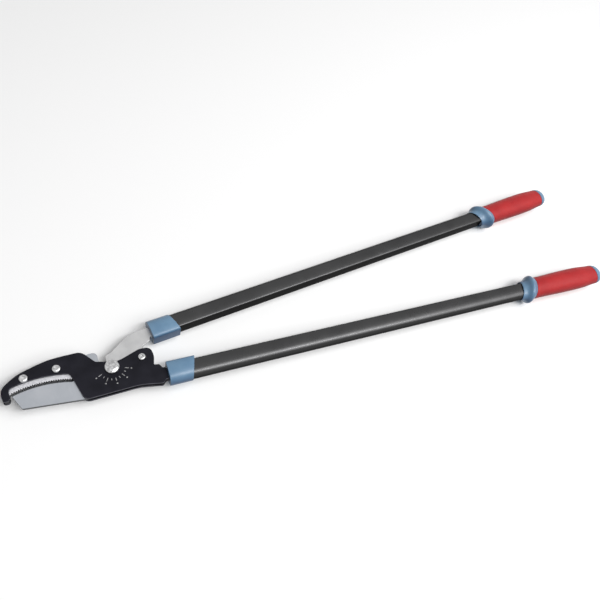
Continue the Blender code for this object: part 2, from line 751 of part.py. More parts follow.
def guard_rings(side):
    """Rings of the flared guard, front to neck."""
    mouth = (MOUTH_WIDTH / 2, MOUTH_HEIGHT / 2)
    neck = (GRIP_NECK_WIDTH / 2, GRIP_NECK_HEIGHT / 2)
    rim = (GUARD_WIDTH / 2, GUARD_HEIGHT / 2)
    front = ((0.0, 0.0), (0.2, 0.1), (0.35, 0.36), (0.47, 0.74), (0.56, 0.95), (0.62, 1.0))
    back = ((0.7, 0.93), (0.8, 0.6), (0.9, 0.18), (1.0, 0.0))
    rings = []
    for low, steps in ((mouth, front), (neck, back)):
        for place, share in steps:
            width = low[0] + (rim[0] - low[0]) * share
            height = low[1] + (rim[1] - low[1]) * share
            rings.append(grip_ring(side, GUARD_LENGTH * place, width, height, GUARD_SLANT))
    return rings


def flange_rings(side):
    """Rings of the rounded end of the core."""
    start = GRIP_LENGTH - END_FLANGE_LENGTH
    rings = []
    for step in range(6):
        turn = math.radians(85.0) * step / 5
        station = start + END_FLANGE_LENGTH * (0.15 + 0.85 * math.sin(turn))
        share = math.cos(turn) ** 0.5
        rings.append(grip_ring(side, station, GRIP_END_WIDTH / 2 * share,
                               GRIP_END_HEIGHT / 2 * share))
    return [grip_ring(side, start, GRIP_END_WIDTH / 2, GRIP_END_HEIGHT / 2)] + rings


def build_grip(side, plastic, rubber, parent):
    """Grip core with guard and end, and the soft sleeve round its barrel."""
    barrel = barrel_half_sizes()
    last = GRIP_LENGTH - END_FLANGE_LENGTH
    rings = guard_rings(side)
    rings += [grip_ring(side, GUARD_LENGTH, *barrel, GUARD_SLANT), grip_ring(side, last, *barrel)]
    rings += flange_rings(side)
    core = handle_object(side, "grip_core", loft(rings), plastic, parent)
    guard_start = TUBE_START + tube_length(side) - TUBE_IN_GRIP
    socket = tube_section(FIT_GAP)
    room = [section_ring(side, guard_start - GUARD_WIDTH / 2, socket),
            section_ring(side, guard_start + TUBE_IN_GRIP + SEAT_GAP, socket)]
    cut(core, loft(room), core.name + "_socket")
    first = GUARD_LENGTH + SEAT_GAP
    final = last - SEAT_GAP
    outer = []
    for step in range(SLEEVE_STEPS + 1):
        share = step / SLEEVE_STEPS
        station = first + (final - first) * share
        slant = GUARD_SLANT * max(0.0, 1.0 - 4 * share)
        outer.append(grip_ring(side, station, *sleeve_half_sizes(station), slant))
    bore = [half + SEAT_GAP for half in barrel]
    inner = [grip_ring(side, final, *bore), grip_ring(side, first, *bore, GUARD_SLANT)]
    handle_object(side, "grip_sleeve", loft(outer + inner, closed=True), rubber, parent)


def build_handle(side, half_thickness, materials, parent):
    """One handle: collar, plug, tube and grip."""
    build_collar(side, materials["blue"], half_thickness, parent)
    build_plug(side, materials["black_plastic"], half_thickness, parent)
    build_tube(side, materials["black_paint"], parent)
    build_grip(side, materials["blue"], materials["red"], parent)


def make_materials():
    """Materials of the lopper."""
    return {"black_steel": make_material("black_steel", (0.022, 0.022, 0.026), 0.3, 0.4),
            "blade_steel": make_material("blade_steel", (0.42, 0.44, 0.47), 0.9, 0.38),
            "lever_steel": make_material("lever_steel", (0.55, 0.55, 0.55), 0.9, 0.32),
            "alloy": make_material("alloy", (0.45, 0.45, 0.45), 0.8, 0.5),
            "zinc": make_material("zinc", (0.6, 0.6, 0.6), 1.0, 0.25),
            "bronze": make_material("bronze", (0.4, 0.25, 0.1), 1.0, 0.35),
            "black_rubber": make_material("black_rubber", (0.02, 0.02, 0.02), 0.0, 0.7),
            "black_plastic": make_material("black_plastic", (0.03, 0.03, 0.03), 0.0, 0.5),
            "black_paint": make_material("black_paint", (0.02, 0.02, 0.02), 0.4, 0.3),
            "blue": make_material("blue", (0.2, 0.3, 0.42), 0.0, 0.45),
            "red": make_material("red", (0.55, 0.03, 0.04), 0.0, 0.5)}


def build():
    """Build the whole lopper."""
    clear_scene()
    materials = make_materials()
    root, moving = make_empty("anvil_side"), make_empty("blade_side")
    build_plates(materials["black_steel"], root)
    build_insert(materials["alloy"], root)
    build_tang(materials["black_steel"], root)
    build_blade(materials["blade_steel"], moving)
    build_lever(materials["lever_steel"], moving)
    build_rivets(materials["zinc"], root, moving)
    build_pivot(materials["zinc"], materials["bronze"], root)
    build_fasteners(materials["zinc"], materials["black_rubber"], root)
    build_handle(UPPER, HALF_LAYER, materials, moving)
    build_handle(LOWER, PLATE_OUTER, materials, root)


build()
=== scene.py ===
import math

import bpy
from mathutils import Matrix, Vector


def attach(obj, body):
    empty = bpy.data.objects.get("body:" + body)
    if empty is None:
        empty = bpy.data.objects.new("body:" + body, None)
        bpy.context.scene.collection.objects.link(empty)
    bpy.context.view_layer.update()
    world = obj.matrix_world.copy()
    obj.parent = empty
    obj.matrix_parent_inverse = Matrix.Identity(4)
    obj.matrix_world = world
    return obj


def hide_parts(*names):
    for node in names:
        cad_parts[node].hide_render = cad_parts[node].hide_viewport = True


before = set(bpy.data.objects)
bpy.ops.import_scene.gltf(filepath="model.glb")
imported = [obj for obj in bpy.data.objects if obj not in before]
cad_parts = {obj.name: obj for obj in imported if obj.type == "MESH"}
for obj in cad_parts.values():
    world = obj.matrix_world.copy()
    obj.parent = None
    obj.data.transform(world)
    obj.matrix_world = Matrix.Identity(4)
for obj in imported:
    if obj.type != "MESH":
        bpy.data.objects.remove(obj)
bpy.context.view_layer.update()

MM = 0.001

UPPER = 1
LOWER = -1
BODY = {UPPER: "blade_side", LOWER: "anvil_side"}
PREFIX = {UPPER: "upper_", LOWER: "lower_"}

# Heights of the head's layers, and the clearance under a screw head or over a nut
MIDDLE = 21.0
PLATE_TOP = 25.9
PLATE_BOTTOM = 16.1
SEAT_GAP = 0.3
HEAD_SEAT = PLATE_TOP + SEAT_GAP
NUT_SEAT = PLATE_BOTTOM - SEAT_GAP

# Handles: the tubes' places and their section
HANDLE_ANGLE = 4.36
AXIS_OFFSET = {UPPER: 34.2, LOWER: 28.0}
TUBE_START = 71.2
TUBE_LENGTH = {UPPER: 729.0, LOWER: 715.0}
TUBE_WIDTH = 26.0
TUBE_HEIGHT = 20.5
TUBE_CORNER = 2.5
TUBE_WALL = 1.5

# Crowned sections: radius of the faces, degrees at which they meet the round side, and
# the steps along a corner, a face and the round side
TUBE_CROWN = (45.0, 8.0)
COLLAR_CROWN = (40.0, 10.0)
CORNER_STEPS = 8
FACE_STEPS = 10
ROUND_STEPS = 32

# Collars, their walls counted from the tube. A face belongs to the rear end where its
# normal has more than FACES_REAR along the handle.
COLLAR_START = {UPPER: 64.5, LOWER: 66.9}
COLLAR_INNER_LENGTH = 39.5
COLLAR_OUTER_LENGTH = 30.7
COLLAR_INNER_WALL = 3.9
COLLAR_OUTER_WALL = 1.5
COLLAR_FACE_WALL = 2.8
COLLAR_CORNER = 4.5
COLLAR_RIM = 1.6
COLLAR_RIM_STEPS = 4
COLLAR_FIT = 0.35
COLLAR_MOUTH_DEPTH = 10.0
FACES_REAR = 0.8

# Grips: sizes are width and height, stations are counted from the grip's front
TUBE_IN_GRIP = 115.0
GRIP_LENGTH = 179.3
GRIP_INSET = 2.0
MOUTH = (32.6, 25.0)
MOUTH_WALL = 0.8
MOUTH_DEPTH = 2.5
MOUTH_EDGE = 0.4
NECK = (36.8, 30.6)
RIM = (46.6, 42.0)
SWELL = (39.9, 31.5)
GRIP_END = (35.3, 27.4)
SWELL_STATION = 113.0
SWELL_FALL = 1.6
END_LENGTH = 14.2
END_STEPS = 9
END_TURN = 86.0
END_POWER = 0.5
LAST_STATION = GRIP_LENGTH - END_LENGTH

# Guard: its lip, its length, its slant, how far behind it the slant has gone, and the
# share of slant that counts as square; then places along it with their share of the
# way from the mouth or neck out to the rim
GUARD_LIP = 0.5
GUARD_LENGTH = 28.2
GUARD_SLANT = 0.36
SLANT_REACH = 36.0
SQUARE = 0.001
GUARD_FRONT = (
    (0.0, 0.0), (0.12, 0.03), (0.22, 0.12), (0.31, 0.27), (0.39, 0.48), (0.46, 0.71),
    (0.52, 0.87), (0.57, 0.96), (0.62, 1.0))
GUARD_BACK = (
    (0.67, 0.97), (0.73, 0.86), (0.79, 0.66), (0.85, 0.4), (0.91, 0.16), (0.96, 0.03),
    (1.0, 0.0))

# Core's steps behind the guard and behind the sleeve
BARREL_GAP = 0.1
END_GAP = 0.3

# Soft sleeve: wall, skin of the open shell, gaps at its ends, and its rounded lips as
# drop and distance from the end
SLEEVE_WALL = 1.2
SLEEVE_SKIN = 0.3
SLEEVE_FRONT_GAP = 0.25
SLEEVE_REAR_GAP = 0.1
SLEEVE_STEPS = 40
LIP_LENGTH = 0.8
LIP = ((0.9, 0.0), (0.45, 0.12), (0.15, 0.4))

# Places of the bolts, and head diameter and head height
PIVOT = (0.0, 0.0)
ANVIL_SCREWS = ((-104.7, 18.87), (-65.1, 19.58))
STOP_BOLT = (40.1, 1.8)
SCREW_HEAD = (11.0, 3.2)
STOP_HEAD = (10.4, 3.2)
PIVOT_HEAD = (19.6, 4.6)

# Heads: rounded lower edge, share of the height that is upright, share of the radius
# that is flat, and steps of the dome
HEAD_EDGE = 0.35
HEAD_UPRIGHT = 0.2
SCREW_FLAT = 0.5
SCREW_DOME_STEPS = 10
PIVOT_FLAT = 0.24
PIVOT_DOME_STEPS = 14

# Sockets: size across flats, depth and turn
SOCKET_ACROSS = 4.0
SOCKET_DEPTH = 1.7
SOCKET_TURN = 0.2

# Threads: depth, the point's two radius drops and its length, and the run-out; then
# radius and pitch of the screws and the pivot bolt, how far a screw reaches past its
# nut's seat, and how far below the plate or the nut's top the thread stops
THREAD_DEPTH = 0.45
POINT_DROPS = (0.9, 0.3)
POINT_LENGTH = 0.5
RUN_OUT = 0.05
SCREW_RADIUS = 3.0
SCREW_PITCH = 1.0
SCREW_REACH = 6.0
SCREW_PLAIN = 4.0
PIVOT_RADIUS = 4.0
PIVOT_PITCH = 1.25
PIVOT_PLAIN = 6.0

# Nuts: size across flats, height and bore radius; then the chamfer's shares of the
# radius to the flats and to the corners, its height, and how far its cutter goes on
SCREW_NUT = (10.0, 5.0, 3.1)
PIVOT_NUT = (13.0, 9.5, 4.2)
CHAMFER_FLAT = 0.97
CHAMFER_CORNER = 1.02
CHAMFER_HEIGHT = 1.0
CHAMFER_ABOVE = 0.5

# Washer: radius, bore radius, thickness and chamfer
WASHER_RADIUS = 10.0
WASHER_BORE = 4.3
WASHER_THICKNESS = 2.0
WASHER_CHAMFER = 0.3
PIVOT_NUT_TOP = NUT_SEAT - WASHER_THICKNESS - SEAT_GAP

# Cutting and softening: how far a cutter stands out, the hair's breadth that keeps two
# rings apart, and the width and angle of the bevels
CUT_PAST = 1.0
HAIR = 0.01
SCREW_BEVEL = (0.12, 50.0)
NUT_BEVEL = (0.15, 28.0)
COLLAR_BEVEL_ANGLE = 50.0
TICK_BEVEL = (0.3, 60.0)
EDGE_ANGLE = 40.0

# Sides of the round pieces: a dot, a screw or hole, and the pivot's pieces and grips
DOT_SIDES = 24
SCREW_SIDES = 48
ROUND_SIDES = 96

# Refined copies of the solids: merging distance in metres, flatness in degrees, and
# the weight of large faces in the shading
MERGE_DISTANCE = 0.00001
FLATNESS = 0.5
FACE_WEIGHT = 80

# Printed ticks: count, first and last angle, radius and length of a long and a short
# one, width, height and lift over the plate; then the dots outside the long ones
TICK_COUNT = 9
TICK_FAN = (-158.0, -22.0)
LONG_TICK = (18.5, 5.0)
SHORT_TICK = (17.5, 2.6)
TICK_WIDTH = 0.9
TICK_HEIGHT = 0.12
TICK_LIFT = 0.02
DOT_PLACE = 24.5
DOT = ((0.95, -0.04), (1.0, 0.05), (0.9, 0.08))

# Finishes: the range in which most of a noise lies, and the sockets of a colour mix
NOISE_LOW = 0.3
NOISE_HIGH = 0.7
MIX_FIRST = 6
MIX_SECOND = 7
MIX_RESULT = 2

# Light, in metres and watts: softboxes as azimuth, elevation, distance, width, height
# and power, in pale surroundings
LOPPER_MIDDLE = (0.38, 0.0, 0.0)
KEY_LIGHT = (-46.0, 56.0, 4.0, 3.9, 3.9, 155.0)
STRIP_LIGHT = (-70.0, 60.0, 4.0, 3.2, 0.35, 60.0)
WORLD_LIGHT = 0.22

# Floor, in metres: size, drop under the lopper, shade seen, shade that lights the
# lopper, and the distances at which it fades into the backdrop
FLOOR_SIZE = 20.0
FLOOR_DROP = 0.0004
FLOOR_COLOUR = 0.95
FLOOR_BOUNCE = 0.5
FLOOR_FADE = (1.4, 2.6)

# Camera, in metres: at the photo's viewing angle, 54 degrees above the floor
CAMERA_PLACE = (-0.0764, -0.369815, 0.759982)
CAMERA_FORWARD = (0.401415, 0.429369, -0.809017)
CAMERA_UP = (0.249409, 0.798681, 0.547634)
CAMERA_LENS = 36.0
CAMERA_SENSOR = 36.0
CAMERA_NEAR = 0.01


# Selecting and shaping in edit mode

def choose(piece):
    """Select one piece alone and make it active."""
    bpy.ops.object.select_all(action="DESELECT")
    piece.select_set(True)
    bpy.context.view_layer.objects.active = piece


def start_editing(piece):
    """Open one piece in edit mode with nothing selected."""
    choose(piece)
    bpy.ops.object.mode_set(mode="EDIT")
    bpy.ops.mesh.select_all(action="DESELECT")


def stop_editing():
    """Leave edit mode."""
    bpy.ops.object.mode_set(mode="OBJECT")


def close_outwards():
    """Point all faces outwards and leave edit mode."""
    bpy.ops.mesh.select_all(action="SELECT")
    bpy.ops.mesh.normals_make_consistent(inside=False)
    stop_editing()


def pick_faces(piece, test):
    """Select the faces whose normal passes a test."""
    bpy.ops.mesh.select_all(action="DESELECT")
    bpy.ops.mesh.select_mode(type="FACE")
    bpy.ops.object.mode_set(mode="OBJECT")
    for face in piece.data.polygons:
        face.select = test(face.normal)
    bpy.ops.object.mode_set(mode="EDIT")


def extrude(x, y, z):
    """Extrude what is selected by a move in millimetres."""
    bpy.ops.mesh.extrude_region_move(
        TRANSFORM_OT_translate={"value": (x * MM, y * MM, z * MM)})


def new_piece(name):
    """The object that an add operator just made, under its own name."""
    piece = bpy.context.view_layer.objects.active
    piece.name = name
    piece.data.name = name
    return piece


def apply_modifier(piece, kind, **settings):
    """Add a modifier with its settings and apply it."""
    choose(piece)
    modifier = piece.modifiers.new(kind.lower(), kind)
    for key, value in settings.items():
        setattr(modifier, key, value)
    bpy.ops.object.modifier_apply(modifier=modifier.name)


def soften(piece, width, angle, segments=2):
    """Bevel the edges that are sharper than an angle."""
    apply_modifier(piece, "BEVEL", width=width * MM, segments=segments, limit_method="ANGLE",
                   angle_limit=math.radians(angle), use_clamp_overlap=True)


def cut_with(piece, cutter, operation="DIFFERENCE"):
    """Cut one piece with another and delete the cutter."""
    apply_modifier(piece, "BOOLEAN", operation=operation, solver="EXACT", object=cutter)
    bpy.data.objects.remove(cutter, do_unlink=True)


def shade(piece, angle=30.0):
    """Smooth shading with crisp edges past an angle."""
    choose(piece)
    bpy.ops.object.shade_smooth_by_angle(angle=math.radians(angle))


def settle(piece):
    """Put a piece's place, turn and scale into its mesh."""
    choose(piece)
    bpy.ops.object.transform_apply(location=True, rotation=True, scale=True)


def finish_piece(piece, body, material, node=None):
    """Give a piece its finish, let it ride on its body and stand for its CAD node."""
    piece.data.materials.clear()
    piece.data.materials.append(material)
    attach(piece, body)
    if node:
        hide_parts(node)


def place_on_handle(piece, side):
    """Move a piece from the handle's own axis to its place on the lopper."""
    turn = Matrix.Rotation(side * math.radians(HANDLE_ANGLE), 4, "Z")
    shift = Matrix.Translation((0.0, side * AXIS_OFFSET[side] * MM, MIDDLE * MM))
    piece.matrix_world = turn @ shift @ piece.matrix_world
    settle(piece)


# Round, oval and six-sided bodies

def turned(name, place, profile, sides):
    """Body turned about a vertical axis, from radius and height pairs, bottom to top."""
    bpy.ops.object.select_all(action="DESELECT")
    x, y = place[0] * MM, place[1] * MM
    radius, height = profile[0]
    bpy.ops.mesh.primitive_circle_add(
        vertices=sides, radius=radius * MM, fill_type="NGON", location=(x, y, height * MM))
    piece = new_piece(name)
    settle(piece)
    start_editing(piece)
    bpy.ops.mesh.select_all(action="SELECT")
    for (radius, height), (next_radius, next_height) in zip(profile, profile[1:]):
        extrude(0.0, 0.0, next_height - height)
        grow = next_radius / radius
        bpy.ops.transform.resize(value=(grow, grow, 1.0),
                                 center_override=(x, y, next_height * MM))
    close_outwards()
    return piece


def pulled(name, side, stations):
    """Oval body pulled along a handle: station, half width, half height and slant share."""
    bpy.ops.object.select_all(action="DESELECT")
    along, width, height, share = stations[0]
    tilt = math.atan(GUARD_SLANT * share)
    middle = -side * GRIP_INSET * MM
    bpy.ops.mesh.primitive_circle_add(
        vertices=ROUND_SIDES, radius=MM, fill_type="NGON", location=(along * MM, middle, 0.0),
        rotation=(0.0, math.pi / 2, side * tilt))
    piece = new_piece(name)
    settle(piece)
    start_editing(piece)
    bpy.ops.mesh.select_all(action="SELECT")
    widen = width / math.cos(tilt)
    bpy.ops.transform.resize(value=(widen, widen, height),
                             center_override=(along * MM, middle, 0.0))
    for now, after in zip(stations, stations[1:]):
        extrude(after[0] - now[0], 0.0, 0.0)
        wider, higher = after[1] / now[1], after[2] / now[2]
        lean = wider * after[3] / now[3]
        bpy.ops.transform.resize(value=(lean, wider, higher),
                                 center_override=(after[0] * MM, middle, 0.0))
    close_outwards()
    return piece


def open_ends(piece):
    """Delete the two flat end faces of a pulled body."""
    largest = max(len(face.vertices) for face in piece.data.polygons)
    start_editing(piece)
    bpy.ops.mesh.select_mode(type="FACE")
    bpy.ops.mesh.select_face_by_sides(number=largest, type="EQUAL")
    bpy.ops.mesh.delete(type="ONLY_FACE")
    stop_editing()


def hexagon_block(name, place, across, bottom, top, turn=0.0):
    """Upright six-sided block."""
    bpy.ops.object.select_all(action="DESELECT")
    bpy.ops.mesh.primitive_cylinder_add(
        vertices=6, radius=across / math.sqrt(3) * MM, depth=(top - bottom) * MM,
        location=(place[0] * MM, place[1] * MM, (bottom + top) / 2 * MM),
        rotation=(0.0, 0.0, turn))
    block = new_piece(name)
    settle(block)
    return block


def between(low, high, share):
    """Value between two others."""
    return low + (high - low) * share


def ease(share):
    """Share that starts and ends gently."""
    return (1 - math.cos(math.pi * share)) / 2


# Grips

def guard_stations():
    """Stations of the flared guard, from inside its mouth to the neck behind it."""
    width, height = MOUTH[0] / 2, MOUTH[1] / 2
    stations = [(MOUTH_DEPTH, width - MOUTH_WALL, height - MOUTH_WALL, 1.0),
                (MOUTH_EDGE, width - MOUTH_WALL, height - MOUTH_WALL, 1.0),
                (0.0, width - MOUTH_WALL / 2, height - MOUTH_WALL / 2, 1.0)]
    for low, steps in ((MOUTH, GUARD_FRONT), (NECK, GUARD_BACK)):
        for place, share in steps:
            width = between(low[0], RIM[0], share) / 2
            height = between(low[1], RIM[1], share) / 2
            along = GUARD_LIP + (GUARD_LENGTH - GUARD_LIP) * place
            stations.append((along, width, height, 1.0))
    return stations


def sleeve_size(station):
    """Half width and half height of the soft sleeve at a station of the grip."""
    if station < SWELL_STATION:
        low, high = NECK, SWELL
        way = max(0.0, (station - GUARD_LENGTH) / (SWELL_STATION - GUARD_LENGTH))
    else:
        low, high = SWELL, GRIP_END
        way = ((station - SWELL_STATION) / (LAST_STATION - SWELL_STATION)) ** SWELL_FALL
    share = ease(way)
    return between(low[0], high[0], share) / 2, between(low[1], high[1], share) / 2


def slant_share(station):
    """How much of the guard's slant is left at a station behind it."""
    return max(SQUARE, 1.0 - (station - GUARD_LENGTH) / SLANT_REACH)


def end_stations():
    """Stations of the core's rounded end, from a little behind the sleeve."""
    stations = []
    for step in range(END_STEPS + 1):
        turn = math.radians(END_TURN) * step / END_STEPS
        share = math.cos(turn) ** END_POWER
        along = LAST_STATION + END_GAP + (END_LENGTH - END_GAP) * math.sin(turn)
        stations.append((along, GRIP_END[0] / 2 * share, GRIP_END[1] / 2 * share, SQUARE))
    return stations


def on_grip(side, stations):
    """Stations of a grip piece, counted along the whole handle."""
    front = TUBE_START + TUBE_LENGTH[side] - TUBE_IN_GRIP
    return [(front + along, width, height, share) for along, width, height, share in stations]


def grip_core(side, material):
    """Hard core of the grip: guard, barrel and rounded end."""
    barrel = (NECK[0] / 2 - SLEEVE_WALL, GRIP_END[1] / 2 - SLEEVE_WALL)
    stations = guard_stations()
    stations += [(GUARD_LENGTH + BARREL_GAP, *barrel, 1.0), (LAST_STATION, *barrel, SQUARE)]
    stations += end_stations()
    core = pulled(PREFIX[side] + "grip_core_shell", side, on_grip(side, stations))
    place_on_handle(core, side)
    shade(core, 40.0)
    finish_piece(core, BODY[side], material, PREFIX[side] + "grip_core")


def grip_sleeve(side, material):
    """Soft sleeve moulded round the barrel, with rounded lips at both ends."""
    first = GUARD_LENGTH + SLEEVE_FRONT_GAP
    final = LAST_STATION - SLEEVE_REAR_GAP
    stations = []
    width, height = sleeve_size(first)
    for drop, along in LIP:
        stations.append((first + along, width - drop, height - drop, slant_share(first)))
    for step in range(SLEEVE_STEPS + 1):
        along = between(first + LIP_LENGTH, final - LIP_LENGTH, step / SLEEVE_STEPS)
        stations.append((along, *sleeve_size(along), slant_share(along)))
    width, height = sleeve_size(final)
    for drop, along in reversed(LIP):
        stations.append((final - along, width - drop, height - drop, SQUARE))
    sleeve = pulled(PREFIX[side] + "grip_sleeve_skin", side, on_grip(side, stations))
    open_ends(sleeve)
    apply_modifier(sleeve, "SOLIDIFY", thickness=SLEEVE_SKIN * MM, offset=-1.0)
    place_on_handle(sleeve, side)
    shade(sleeve, 60.0)
    finish_piece(sleeve, BODY[side], material, PREFIX[side] + "grip_sleeve")


# Tubes and collars

def arc(side, along, centre, turn, steps):
    """Draw on from the last point round a centre, given as outwards and height."""
    bpy.ops.mesh.spin(
        steps=steps, angle=side * math.radians(turn), axis=(1.0, 0.0, 0.0),
        center=(along * MM, side * centre[0] * MM, centre[1] * MM))


def crowned_bar(name, side, start, stop, height, inner, outer, corner, crown):
    """Bar along a handle: flat inner side, crowned faces and a round outer side."""
    radius, outer_turn = crown[0], math.radians(crown[1])
    round_end = (height / 2 - radius * (1 - math.cos(outer_turn))) / math.cos(outer_turn)
    crest = outer - round_end - (radius - round_end) * math.sin(outer_turn)
    inner_turn = math.asin((crest + inner - corner) / (radius - corner))
    corner_at = (corner - inner, height / 2 - radius + (radius - corner) * math.cos(inner_turn))
    first = (start * MM, -side * inner * MM, corner_at[1] * MM)
    bpy.ops.object.select_all(action="DESELECT")
    bpy.ops.mesh.primitive_plane_add(size=MM, location=first)
    bar = new_piece(name)
    settle(bar)
    start_editing(bar)
    bpy.ops.mesh.select_mode(type="VERT")
    bpy.ops.mesh.select_all(action="SELECT")
    bpy.ops.mesh.merge(type="CENTER")
    bend = 90.0 - math.degrees(inner_turn)
    sweep = crown[1] + math.degrees(inner_turn)
    arc(side, start, corner_at, bend, CORNER_STEPS)
    arc(side, start, (crest, height / 2 - radius), sweep, FACE_STEPS)
    arc(side, start, (outer - round_end, 0.0), 180.0 - 2 * crown[1], ROUND_STEPS)
    arc(side, start, (crest, radius - height / 2), sweep, FACE_STEPS)
    arc(side, start, (corner_at[0], -corner_at[1]), bend, CORNER_STEPS)
    bpy.ops.mesh.select_all(action="SELECT")
    bpy.ops.mesh.edge_face_add()
    extrude(stop - start, 0.0, 0.0)
    close_outwards()
    return bar


def handle_tube(side, material):
    """Tube with a flat inner side and a round outer side."""
    stop = TUBE_START + TUBE_LENGTH[side]
    half = TUBE_WIDTH / 2
    tube = crowned_bar(PREFIX[side] + "tube_shell", side, TUBE_START, stop, TUBE_HEIGHT,
                       half, half, TUBE_CORNER, TUBE_CROWN)
    open_ends(tube)
    apply_modifier(tube, "SOLIDIFY", thickness=TUBE_WALL * MM, offset=-1.0,
                   use_even_offset=True)
    place_on_handle(tube, side)
    shade(tube)
    finish_piece(tube, BODY[side], material, PREFIX[side] + "tube")


def collar(side, material):
    """Collar with soft rims, a slanted rear end and a mouth round the tube."""
    inner = TUBE_WIDTH / 2 + COLLAR_INNER_WALL
    outer = TUBE_WIDTH / 2 + COLLAR_OUTER_WALL
    height = TUBE_HEIGHT + 2 * COLLAR_FACE_WALL
    start = COLLAR_START[side]
    stop = start + (COLLAR_INNER_LENGTH + COLLAR_OUTER_LENGTH) / 2
    piece = crowned_bar(PREFIX[side] + "collar_shell", side, start, stop, height, inner, outer,
                        COLLAR_CORNER, COLLAR_CROWN)
    shape_rear(piece, side, stop, inner, outer, height)
    soften(piece, COLLAR_RIM, COLLAR_BEVEL_ANGLE, COLLAR_RIM_STEPS)
    place_on_handle(piece, side)
    shade(piece, 40.0)
    finish_piece(piece, BODY[side], material, PREFIX[side] + "collar")


def shape_rear(piece, side, stop, inner, outer, height):
    """Slant the rear end, longer on the inner side, and sink the tube's mouth into it."""
    width = inner + outer
    shift = (outer - inner) / 2
    lean = (COLLAR_INNER_LENGTH - COLLAR_OUTER_LENGTH) / width
    tilt = math.asin(lean)
    middle = (stop * MM, side * shift * MM, 0.0)
    start_editing(piece)
    pick_faces(piece, lambda normal: normal.x > FACES_REAR)
    bpy.ops.transform.rotate(value=-side * tilt, orient_axis="Z", center_override=middle)
    bpy.ops.transform.resize(value=(1.0, 1.0 / math.cos(tilt), 1.0), center_override=middle)
    extrude(0.0, 0.0, 0.0)
    narrow = (TUBE_WIDTH + 2 * COLLAR_FIT) / width
    lower = (TUBE_HEIGHT + 2 * COLLAR_FIT) / height
    bpy.ops.transform.resize(value=(narrow, narrow, lower), center_override=middle)
    bpy.ops.transform.translate(value=(lean * shift * MM, -side * shift * MM, 0.0))
    extrude(-COLLAR_MOUTH_DEPTH, 0.0, 0.0)
    stop_editing()


# Fasteners

def dome(diameter, height, flat_share, steps):
    """Profile of a domed head above its seat."""
    radius = diameter / 2
    rim = height * HEAD_UPRIGHT
    flat = radius * flat_share
    profile = [(radius - HEAD_EDGE, HEAD_SEAT), (radius, HEAD_SEAT + HEAD_EDGE),
               (radius, HEAD_SEAT + rim)]
    for step in range(1, steps + 1):
        turn = math.pi / 2 * step / steps
        profile.append((flat + (radius - flat) * math.cos(turn),
                        HEAD_SEAT + rim + (height - rim) * math.sin(turn)))
    return profile


def thread(radius, bottom, top, pitch):
    """Profile of a threaded end as fine ridges."""
    height = bottom + POINT_LENGTH
    profile = [(radius - POINT_DROPS[0], bottom), (radius - POINT_DROPS[1], height)]
    while height + pitch < top:
        profile += [(radius - THREAD_DEPTH, height + pitch * 0.25),
                    (radius, height + pitch * 0.5), (radius - THREAD_DEPTH, height + pitch)]
        height += pitch
    return profile + [(radius - RUN_OUT, top)]


def button_screw(name, place, head, material, node):
    """Button-head screw with a socket, its shank and its threaded end."""
    profile = thread(SCREW_RADIUS, NUT_SEAT - SCREW_REACH, PLATE_BOTTOM - SCREW_PLAIN,
                     SCREW_PITCH)
    profile += [(SCREW_RADIUS, PLATE_BOTTOM), (SCREW_RADIUS, HEAD_SEAT - HAIR)]
    profile += dome(*head, SCREW_FLAT, SCREW_DOME_STEPS)
    screw = turned(name, place, profile, SCREW_SIDES)
    top = HEAD_SEAT + head[1]
    cut_with(screw, hexagon_block("cutter", place, SOCKET_ACROSS, top - SOCKET_DEPTH,
                                  top + CUT_PAST, SOCKET_TURN))
    soften(screw, *SCREW_BEVEL)
    shade(screw, 35.0)
    finish_piece(screw, "anvil_side", material, node)


def hexagon_nut(name, place, sizes, top, material, node):
    """Hexagon nut with chamfered corners and an open bore."""
    across, height, bore = sizes
    bottom = top - height
    nut = hexagon_block(name, place, across, bottom, top)
    outer = across / math.sqrt(3) * CHAMFER_CORNER
    chamfer = [(across / 2 * CHAMFER_FLAT, bottom - HAIR), (outer, bottom + CHAMFER_HEIGHT),
               (outer, top + CHAMFER_ABOVE)]
    cut_with(nut, turned("chamfer", place, chamfer, SCREW_SIDES), "INTERSECT")
    hole = [(bore, bottom - CUT_PAST), (bore, top + CUT_PAST)]
    cut_with(nut, turned("hole", place, hole, SCREW_SIDES))
    soften(nut, *NUT_BEVEL)
    shade(nut, 25.0)
    finish_piece(nut, "anvil_side", material, node)


def pivot_washer(material):
    """Washer between the rear plate and the pivot nut."""
    bottom, top = PIVOT_NUT_TOP + SEAT_GAP, NUT_SEAT
    inset = WASHER_RADIUS - WASHER_CHAMFER
    washer = turned("pivot_washer_turned", PIVOT, [
        (inset, bottom), (WASHER_RADIUS, bottom + WASHER_CHAMFER),
        (WASHER_RADIUS, top - WASHER_CHAMFER), (inset, top)], ROUND_SIDES)
    hole = [(WASHER_BORE, PIVOT_NUT_TOP - CUT_PAST), (WASHER_BORE, PLATE_BOTTOM + CUT_PAST)]
    cut_with(washer, turned("hole", PIVOT, hole, SCREW_SIDES))
    shade(washer, 35.0)
    finish_piece(washer, "anvil_side", material, "pivot_washer")


def pivot_set(material):
    """Domed pivot bolt, with its washer and nut behind the rear plate."""
    profile = thread(PIVOT_RADIUS, 0.0, PIVOT_NUT_TOP - PIVOT_PLAIN, PIVOT_PITCH)
    profile += [(PIVOT_RADIUS, HEAD_SEAT - HAIR)]
    profile += dome(*PIVOT_HEAD, PIVOT_FLAT, PIVOT_DOME_STEPS)
    bolt = turned("pivot_bolt_turned", PIVOT, profile, ROUND_SIDES)
    shade(bolt, 40.0)
    finish_piece(bolt, "anvil_side", material, "pivot_bolt")
    hexagon_nut("pivot_nut_cut", PIVOT, PIVOT_NUT, PIVOT_NUT_TOP, material, "pivot_nut")
    pivot_washer(material)


